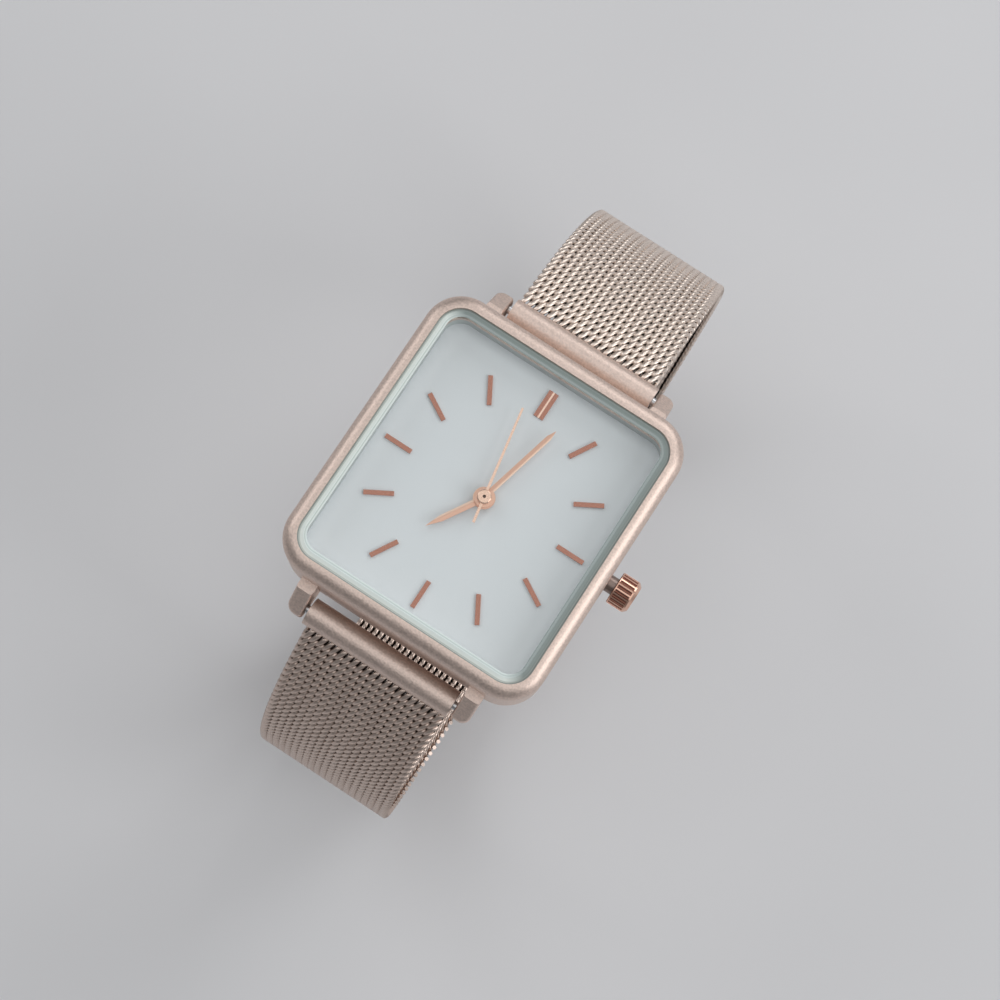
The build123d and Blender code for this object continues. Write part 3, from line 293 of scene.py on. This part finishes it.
class Finish:
    """A material with its own node tree, built round one Principled shader."""

    def __init__(self, name, roughness=0.5, metallic=0.0):
        self.material = bpy.data.materials.new(name)
        self.material.use_nodes = True
        self.tree = self.material.node_tree
        self.shader = self.tree.nodes["Principled BSDF"]
        self.set("Roughness", roughness)
        self.set("Metallic", metallic)

    def set(self, name, value):
        """Gives the shader's input a constant or a link."""
        feed(self.tree, self.shader.inputs[name], value)

    def node(self, kind, settings=None, values=None, output=0):
        """Adds a node: its settings first, then a value or a link for each input."""
        step = self.tree.nodes.new(kind)
        for name, value in (settings or {}).items():
            if name == "stops":
                ramp = step.color_ramp
                while len(ramp.elements) < len(value):
                    ramp.elements.new(0.5)
                for element, (position, colour) in zip(ramp.elements, value):
                    element.position = position
                    element.color = (*colour, 1)
            else:
                setattr(step, name, value)
        for name, value in (values or {}).items():
            feed(self.tree, step.inputs[name], value)
        return Signal(self.tree, step.outputs[output])

    def place(self):
        """Object coordinates, in metres."""
        return self.node("ShaderNodeTexCoord", output="Object")

    def axis(self, name):
        """One of the Object coordinates, in metres."""
        return self.node("ShaderNodeSeparateXYZ", values={"Vector": self.place()}, output=name)

    def noise(self, size, detail=2.0, where=None):
        """Soft noise whose blobs are about this size, in metres."""
        values = {"Vector": where or self.place(), "Scale": 1 / size, "Detail": detail}
        return self.node("ShaderNodeTexNoise", values=values)

    def ramp(self, signal, stops):
        """Colours along a signal from 0 to 1."""
        return self.node("ShaderNodeValToRGB", {"stops": stops}, {"Fac": signal})

    def wear(self, roughness, grain, spread):
        """A roughness that goes up and down with a grain."""
        self.set("Roughness", roughness + (grain - 0.5) * spread)

    def toned(self, colour, grain, dark, light, start=0.3, end=0.7):
        """A colour that goes from darker to lighter along a grain."""
        return self.ramp(grain, ((start, shade(colour, dark)), (end, shade(colour, light))))

    def mix(self, share, first, second):
        """A colour between two colours or colour signals."""
        values = {mix_share: share, mix_first: first, mix_second: second}
        return self.node("ShaderNodeMix", {"data_type": "RGBA"}, values, mix_result)

    def blend(self, share, first, second):
        """One shader over another."""
        return self.node("ShaderNodeMixShader", values={0: share, 1: first, 2: second})

    def bump(self, height, depth):
        """Raises the surface by a height signal from 0 to 1, over a depth in metres."""
        values = {"Height": height, "Distance": depth, "Strength": 1.0}
        self.set("Normal", self.node("ShaderNodeBump", values=values))


def metal(name, colour, roughness, grain, depth, stretch=(1, 1, 1), mottle=0.35):
    """A coated or bare metal with a fine grain, drawn out along an axis where stretch says so."""
    finish = Finish(name, metallic=1.0)
    drawn = finish.node("ShaderNodeMapping", values={"Vector": finish.place(), "Scale": stretch})
    fine = finish.noise(grain, 3.0, drawn)
    cloud = finish.noise(metal_cloud)
    tone = finish.toned(colour, cloud, dark=0.94, light=1.04)
    speck = finish.toned(colour, fine, dark=0.86, light=1.1, start=0.35, end=0.65)
    finish.set("Base Color", finish.mix(mottle, tone, speck))
    finish.wear(roughness + (cloud - 0.5) * 0.06, fine, spread=0.16)
    finish.bump(fine, depth)
    return finish.material


def turned_metal(name, colour, roughness, ring, depth):
    """A metal with fine turned rings round the dial's axis."""
    finish = Finish(name, metallic=1.0)
    rings = (distance(finish.axis("X"), finish.axis("Y")) * (2 * pi / ring)).sine()
    fine = finish.noise(turned_grain)
    finish.set("Base Color", finish.toned(colour, fine, dark=0.9, light=1.05))
    finish.wear(roughness, fine, spread=0.1)
    finish.bump(rings * turned_ring_share + fine, depth)
    return finish.material


def plastic(name, colour, roughness, grain=plastic_grain, depth=plastic_depth):
    """A moulded plastic or rubber with a soft grain."""
    finish = Finish(name)
    fine = finish.noise(grain, 3.0)
    cloud = finish.noise(plastic_cloud)
    finish.set("Base Color", finish.toned(colour, cloud, dark=0.92, light=1.06))
    finish.wear(roughness, fine, spread=0.12)
    finish.bump(fine, depth)
    return finish.material


def dial_paint():
    """Smooth pale blue-white paint with a faint metallic grain."""
    finish = Finish("pale_dial")
    grain = finish.noise(dial_grain)
    cloud = finish.noise(dial_cloud, 1.0)
    tone = finish.ramp(cloud, dial_tones)
    speck = finish.ramp(grain, dial_specks)
    finish.set("Base Color", finish.mix(dial_speck_share, tone, speck))
    finish.wear(0.42, grain, spread=0.1)
    finish.bump(grain, dial_depth)
    return finish.material


def crystal_glass():
    """Clear mineral glass with a bevel round its edge, painted to glow as if lit by the dial's light.

    The bevel is painted in shade, deep grey-green, on its 12 and 3 o'clock sides, and painted lit and
    pale on the other two; both glow, though no lamp is there.
    Two fine lines run round it, painted into the same glow.
    """
    finish = Finish("crystal_glass")
    smear = finish.noise(smear_size)
    across = finish.axis("X")
    along = finish.axis("Y")

    clear = finish.node("ShaderNodeBsdfTransparent", values={"Color": glass_tint})
    gloss = finish.node("ShaderNodeBsdfGlossy", values={"Roughness": glass_roughness})
    outside = 1.0 - finish.node("ShaderNodeNewGeometry", output="Backfacing")
    direct = 1.0 - finish.node("ShaderNodeLightPath", output="Is Shadow Ray")
    seen = outside * direct
    fresnel = finish.node("ShaderNodeFresnel", values={"IOR": glass_ior})
    front = finish.blend(fresnel * seen, clear, gloss)

    past_x = (abs(across) - (bevel_inner_x - corner_radius)).at_least(0.0)
    past_y = (abs(along) - (bevel_inner_y - corner_radius)).at_least(0.0)
    rim = distance(past_x, past_y) - corner_radius
    edge = finish.ramp(rim / bevel_softness + 0.5, ((0.4, black), (0.6, shade(white, bevel_share))))
    line = finish.ramp(rim / bevel_width, bevel_lines)
    to_crown_and_noon = across / bevel_inner_x + along / bevel_inner_y
    # The 12 and 3 o'clock sides of the bevel are painted in shade, the other two painted lit.
    painted_shade_side = finish.ramp(to_crown_and_noon * 2.0 + 0.5, ((0.3, black), (0.7, white)))
    pale = finish.mix(line, painted_lit_bevel, painted_lit_bevel_line)
    deep = finish.mix(line, painted_shade_bevel, painted_shade_bevel_line)
    finish.set("Base Color", finish.mix(painted_shade_side, pale, painted_shade_bevel_body))
    finish.set("Emission Color", finish.mix(painted_shade_side, pale, deep))
    finish.set("Emission Strength", painted_bevel_glow)
    finish.wear(bevel_roughness, smear, spread=0.1)
    finish.set("IOR", glass_ior)
    bevel = Signal(finish.tree, finish.shader.outputs["BSDF"])

    surface = finish.blend(edge * seen, front, bevel)
    feed(finish.tree, finish.tree.nodes["Material Output"].inputs["Surface"], surface)
    return finish.material


def hand_metal(name, angle):
    """Copper-rose metal ground to two slopes that meet in a ridge along the hand. The lit slope, out
    past the hub, is painted a lighter copper as a highlight.
    """
    finish = Finish(name, metallic=1.0)
    across = finish.axis("X") * cos(angle) - finish.axis("Y") * sin(angle) - ridge_place
    out = distance(finish.axis("X"), finish.axis("Y"))
    lit = (across > lit_slope_start) * (out > hub_reach)
    fine = finish.noise(hand_grain)
    tone = finish.toned(hand_copper, fine, dark=0.93, light=1.05)
    finish.set("Base Color", finish.mix(lit, tone, lit_copper))
    finish.wear(0.3, fine, spread=0.1)
    finish.bump(1.0 - abs(across) / ridge_slope_width, ridge_depth)
    return finish.material


def seconds_metal():
    """Polished copper-rose metal with a dark pinhole painted as shade in the middle of the boss."""
    finish = Finish("seconds_hand_copper", metallic=1.0)
    pinhole = distance(finish.axis("X"), finish.axis("Y")) < pinhole_reach
    fine = finish.noise(hand_grain)
    tone = finish.toned(seconds_copper, fine, dark=0.93, light=1.05)
    finish.set("Base Color", finish.mix(pinhole, tone, pinhole_painted_shade))
    finish.wear(0.28, fine, spread=0.1)
    finish.bump(fine, polish_depth)
    return finish.material


def mark_metal(name, highlight_width=0.0):
    """Deep red copper, with a polished line of this width down its middle, painted as a bright
    highlight.
    """
    finish = Finish(name, metallic=1.0)
    line = abs(finish.axis("X")) < highlight_width / 2
    fine = finish.noise(mark_grain)
    tone = finish.toned(mark_copper, fine, dark=0.92, light=1.06)
    finish.set("Base Color", finish.mix(line, tone, painted_highlight_copper))
    finish.wear(0.22, fine, spread=0.1)
    finish.bump(fine, polish_depth)
    return finish.material


def crown_metal():
    """Copper-rose metal with bright ridges, and flutes painted dark as shade."""
    finish = Finish("crown_copper", metallic=1.0)
    out = distance(finish.axis("Y"), finish.axis("Z") - crown_axis_height)
    flute = (out < ridge_reach) * (finish.axis("X") < flute_end)
    fine = finish.noise(crown_grain)
    tone = finish.toned(copper_rose, fine, dark=0.9, light=1.08)
    finish.set("Base Color", finish.mix(flute, tone, flute_painted_shade))
    finish.wear(0.22, fine, spread=0.1)
    finish.bump(fine, polish_depth)
    return finish.material


def mesh_metal(name, colour):
    """The strap's wire: its own colour on its crests, with shade painted dark down between the wires."""
    finish = Finish(name, metallic=1.0)
    fine = finish.noise(mesh_grain, 3.0)
    crest = finish.node("ShaderNodeAttribute", {"attribute_name": "crest"}, output="Fac")
    out_of_painted_shade = finish.ramp(crest, ((0.45, black), (0.8, white)))
    tone = finish.toned(colour, fine, dark=0.93, light=1.05, start=0.35, end=0.65)
    finish.set("Base Color", finish.mix(out_of_painted_shade, shade(colour, mesh_painted_shade_share), tone))
    finish.wear(0.34, fine, spread=0.16)
    finish.bump(fine, mesh_bump)
    return finish.material


def coil_wire():
    """Fine enamelled copper wire, wound round a core that lies along Y, with shade painted dark between
    its turns.
    """
    finish = Finish("coil_copper", metallic=0.85)
    turns = (finish.axis("Y") * (2 * pi / coil_pitch)).sine()
    finish.set("Base Color", finish.ramp(turns * 0.5 + 0.5, coil_painted_shade_tones))
    finish.set("Roughness", 0.32 + turns * 0.05)
    finish.bump(turns, coil_depth)
    return finish.material


def board_green():
    """Green solder mask with a faint glass weave."""
    finish = Finish("board_green")
    squares = {"Vector": finish.place(), "Scale": 1 / board_weave}
    weave = finish.node("ShaderNodeTexChecker", values=squares, output="Fac")
    cloud = finish.noise(board_cloud)
    finish.set("Base Color", finish.ramp(cloud, board_tones))
    finish.set("Roughness", 0.3 + weave * 0.06 + cloud * 0.08)
    finish.bump(weave, board_depth)
    return finish.material


def floor_paper():
    """Plain pale grey paper."""
    finish = Finish("pale_floor", roughness=0.7)
    finish.set("Base Color", finish.ramp(finish.noise(floor_cloud), floor_tones))
    return finish.material


# A finish for each of the record's material slots
slot_finishes = {
    "case_metal": metal(
        "case_metal", rose, roughness=0.47, grain=0.2 * MM, depth=0.03 * MM, mottle=0.8
    ),
    "mesh_metal": mesh_metal("mesh_metal", painted_lit_mesh_rose),
    "clasp_metal": metal(
        "clasp_metal",
        (0.79, 0.65, 0.575),
        roughness=0.3,
        grain=0.1 * MM,
        depth=0.004 * MM,
        stretch=(0.05, 1, 1),
    ),
    "rose_polish": metal(
        "rose_polish", copper_rose, roughness=0.2, grain=0.15 * MM, depth=0.001 * MM
    ),
    "pale_dial": dial_paint(),
    "ring_enamel": plastic(
        "ring_enamel", (0.50, 0.53, 0.53), roughness=0.45, grain=0.1 * MM, depth=0.001 * MM
    ),
    "crystal_glass": crystal_glass(),
    "seal_rubber": plastic("seal_rubber", (0.29, 0.335, 0.325), roughness=0.55),
    "steel_screw": turned_metal(
        "steel_screw", (0.62, 0.62, 0.63), roughness=0.25, ring=0.05 * MM, depth=0.001 * MM
    ),
    "movement_plate": turned_metal(
        "movement_plate", (0.66, 0.67, 0.69), roughness=0.3, ring=0.24 * MM, depth=0.002 * MM
    ),
    "white_plastic": plastic("white_plastic", (0.78, 0.78, 0.75), roughness=0.4),
    "wheel_brass": metal(
        "wheel_brass", (0.80, 0.60, 0.27), roughness=0.28, grain=0.05 * MM, depth=0.001 * MM
    ),
    "movement_steel": metal(
        "movement_steel", (0.58, 0.59, 0.61), roughness=0.26, grain=0.06 * MM, depth=0.001 * MM
    ),
    "magnet": metal(
        "magnet", (0.36, 0.35, 0.36), roughness=0.4, grain=0.08 * MM, depth=0.002 * MM
    ),
    "stator_iron": metal(
        "stator_iron", (0.50, 0.50, 0.51), roughness=0.34, grain=0.08 * MM, depth=0.001 * MM
    ),
    "coil_copper": coil_wire(),
    "battery_steel": turned_metal(
        "battery_steel", (0.68, 0.68, 0.69), roughness=0.22, ring=0.12 * MM, depth=0.001 * MM
    ),
    "can_metal": metal(
        "can_metal", (0.66, 0.66, 0.66), roughness=0.24, grain=0.1 * MM, depth=0.001 * MM
    ),
    "board_green": board_green(),
    "chip_black": plastic("chip_black", (0.02, 0.02, 0.022), roughness=0.45),
}

# Nodes whose finish follows their own shape or place
node_finishes = {
    "hour_hand": hand_metal("hour_hand_copper", hour_angle),
    "minute_hand": hand_metal("minute_hand_copper", minute_angle),
    "seconds_hand": seconds_metal(),
    "hour_markers": mark_metal("mark_copper"),
    "marker_12": mark_metal("noon_mark_copper", noon_highlight_width),
    "crown": crown_metal(),
    "crown_tube": metal(
        "crown_tube_metal", (0.30, 0.235, 0.21), roughness=0.35, grain=0.1 * MM, depth=0.002 * MM
    ),
    # The 6 o'clock strap half takes a darker, redder copy of the wire's finish: painted shade.
    "mesh_12": slot_finishes["mesh_metal"],
    "mesh_6": mesh_metal("mesh_metal_painted_shade", painted_shade_mesh_rose),
}

for subpart in frame["record"]["subparts"]:
    name = subpart["node"]
    piece = frame["nodes"][name]
    piece.data.materials.clear()
    piece.data.materials.append(node_finishes.get(name) or slot_finishes[subpart["material_slot"]])


def heading(way):
    """The unit vector of an angle in the YZ plane, from +Y towards +Z."""
    return Vector((0, cos(way), sin(way)))


def strap_line(name, start, facing, legs):
    """A strap half's middle line in the YZ plane. A leg is (length, 0), or (radius, turn) for an arc."""
    places = [Vector((0, *start))]
    headings = [facing]
    reaches = [0.0]
    for size, turn in legs:
        count = max(1, round(abs(turn) / arc_step))
        for part in range(count):
            if turn:
                step = turn / count
                centre_way = facing + copysign(pi / 2, turn)
                centre = places[-1] + size * heading(centre_way)
                places.append(centre + size * heading(centre_way + pi + step))
                reaches.append(4 / 3 * size * abs(tan(step / 4)))
                facing += step
            else:
                places.append(places[-1] + size * heading(facing))
                reaches.append(size / 3)
            headings.append(facing)
    reaches.append(0.0)

    curve = bpy.data.curves.new(name, "CURVE")
    curve.dimensions = "3D"
    curve.resolution_u = steps_in_arc
    spline = curve.splines.new("BEZIER")
    spline.bezier_points.add(len(places) - 1)
    for number, point in enumerate(spline.bezier_points):
        way = heading(headings[number])
        point.handle_left_type = point.handle_right_type = "FREE"
        point.co = places[number]
        point.handle_left = places[number] - way * reaches[number]
        point.handle_right = places[number] + way * reaches[number + 1]
        point.tilt = pi / 2
    line = bpy.data.objects.new(name, curve)
    bpy.context.scene.collection.objects.link(line)
    return line


def legs_length(legs):
    """The length of a line of legs."""
    return sum(size * abs(turn) if turn else size for size, turn in legs)


def wire_coil(name, first_row, rows):
    """Rows of interlinked wire coils laid out flat along Y, each one drawn across the strap."""
    pitch = (strap_width - 2 * wire_radius) / column_count
    steps = column_count * steps_in_turn
    wire = bpy.data.curves.new(name, "CURVE")
    wire.dimensions = "3D"
    wire.bevel_depth = wire_radius
    wire.bevel_resolution = 1
    wire.use_fill_caps = True
    turns = wire.splines.new("POLY")
    turns.points.add(steps)
    for number, point in enumerate(turns.points):
        angle = 2 * pi * number / steps_in_turn
        along = -coil_reach * cos(angle)
        back_step = back_step_share * cos(angle) / (2 * pi)
        across = pitch * ((number - steps / 2) / steps_in_turn + back_step)
        point.co = (across + coil_lean * along, first_row + along, coil_rise * sin(angle), 1)
    coil = bpy.data.objects.new(name, wire)
    bpy.context.scene.collection.objects.link(coil)
    deselect()
    coil.select_set(True)
    bpy.context.view_layer.objects.active = coil
    bpy.ops.object.convert(target="MESH")

    # Both faces are rolled nearly flat.
    for face in (1, -1):
        for corner in coil.data.vertices:
            corner.select = face * corner.co.z > rolled_height
        bpy.ops.object.mode_set(mode="EDIT")
        bpy.ops.mesh.select_mode(type="VERT")
        roller = (0, 0, face * rolled_height)
        bpy.ops.transform.resize(value=(1, 1, rolled_share), center_override=roller)
        bpy.ops.mesh.select_all(action="DESELECT")
        bpy.ops.object.mode_set(mode="OBJECT")

    # The crest attribute is about 1 on the rolled faces and the strap's edges, and 0 at mid-thickness.
    # The mesh finish paints shade where it is low.
    edge_start = strap_width / 2 - wire_radius - pitch / 2
    crest = coil.data.attributes.new("crest", "FLOAT", "POINT")
    for corner, share in zip(coil.data.vertices, crest.data):
        on_edge = abs(corner.co.x) > edge_start
        share.value = 1.0 if on_edge else abs(corner.co.z) / rolled_height

    bpy.ops.object.shade_smooth()
    repeat = coil.modifiers.new("rows", "ARRAY")
    repeat.use_relative_offset = False
    repeat.use_constant_offset = True
    repeat.constant_offset_displace = (0, row_pitch, 0)
    repeat.count = rows
    bpy.ops.object.modifier_apply(modifier=repeat.name)
    return coil


def woven_strap(half, line, length, body):
    """A strap half's woven wire, in a few pieces along its line."""
    start_reach = tube_radius + coil_reach
    rows = int((length - start_reach - coil_reach - wire_radius) / row_pitch) + 1
    pieces = ceil(rows / rows_in_piece)
    first = 0
    for number in range(pieces):
        count = rows // pieces + (1 if number < rows % pieces else 0)
        first_row = start_reach + first * row_pitch
        piece = wire_coil(f"woven_strap_{half}_{number + 1}", first_row, count)
        bend = piece.modifiers.new("bend", "CURVE")
        bend.object = line
        bend.deform_axis = "POS_Y"
        bpy.ops.object.modifier_apply(modifier=bend.name)
        piece.data.materials.append(node_finishes[f"mesh_{half}"])
        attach(piece, body)
        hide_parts(f"mesh_{half}")
        first += count


# The 12 o'clock half turns down and then in under the wrist, below the 6 o'clock half.
out_12 = bar_reach + strap_lead * cos(angle_12) + radius_12 * (1 - sin(angle_12))
height_12 = strap_start - strap_lead * sin(angle_12) - radius_12 * cos(angle_12)
low_12 = height_12 - outer_height
legs_12 = (
    (strap_lead, 0),
    (radius_12, angle_12 - pi / 2),
    (low_12, -pi / 2),
    (out_12 - low_12 - end_12, 0),
)
line_12 = strap_line("strap_line_12", (bar_reach, strap_start), -angle_12, legs_12)
woven_strap("12", line_12, legs_length(legs_12), "strap_12")
bpy.data.objects.remove(line_12)

# The 6 o'clock half turns down, runs straight and then turns in, to its free end.
out_6 = bar_reach + strap_lead * cos(angle_6) + radius_6 * (1 - sin(angle_6))
drop_6 = strap_start - strap_lead * sin(angle_6) - radius_6 * cos(angle_6) - inner_height
low_6 = low_share_6 * drop_6
legs_6 = (
    (strap_lead, 0),
    (radius_6, pi / 2 - angle_6),
    (drop_6 - low_6, 0),
    (low_6, pi / 2),
    (out_6 - low_6 + end_6, 0),
)
line_6 = strap_line("strap_line_6", (-bar_reach, strap_start), pi + angle_6, legs_6)
woven_strap("6", line_6, legs_length(legs_6), "strap_6")
bpy.data.objects.remove(line_6)

deselect()
bpy.ops.mesh.primitive_grid_add(
    x_subdivisions=floor_cells,
    y_subdivisions=floor_cells,
    size=floor_size,
    location=(0, 0, cad_box[0][2]),
)
floor = bpy.context.object
floor.name = "floor"
floor.data.materials.append(floor_paper())

world = bpy.context.scene.world or bpy.data.worlds.new("studio")
bpy.context.scene.world = world
world.use_nodes = True
backdrop = world.node_tree.nodes["Background"]
backdrop.inputs["Color"].default_value = (*backdrop_colour, 1)
backdrop.inputs["Strength"].default_value = backdrop_strength


def soft_box(name, place, size, brightness):
    """A square studio lamp that faces the watch, as bright all over as brightness says."""
    lamp = bpy.data.lights.new(name, "AREA")
    lamp.size = size
    lamp.energy = brightness * pi * size * size
    fixture = bpy.data.objects.new(name, lamp)
    bpy.context.scene.collection.objects.link(fixture)
    fixture.location = place
    fixture.rotation_euler = (-Vector(place)).to_track_quat("-Z", "Y").to_euler()


soft_box("top_box", place=(0.0, 0.0, 0.90), size=1.0, brightness=0.75)
soft_box("crown_side_box", place=(0.62, 0.08, 0.42), size=0.5, brightness=2.8)
soft_box("noon_side_box", place=(0.12, 0.66, 0.42), size=0.5, brightness=2.1)
soft_box("far_side_box", place=(-0.62, 0.08, 0.42), size=0.4, brightness=2.0)

camera_data = bpy.data.cameras.new("camera")
camera_data.lens = lens_mm
camera_data.clip_start = nearest_seen
camera = bpy.data.objects.new("camera", camera_data)
bpy.context.scene.collection.objects.link(camera)
camera_turn = Matrix((camera_right, -camera_down, -camera_forward)).transposed()
camera.matrix_world = Matrix.Translation(camera_place) @ camera_turn.to_4x4()
bpy.context.scene.camera = camera
bpy.context.scene.view_settings.view_transform = "Standard"
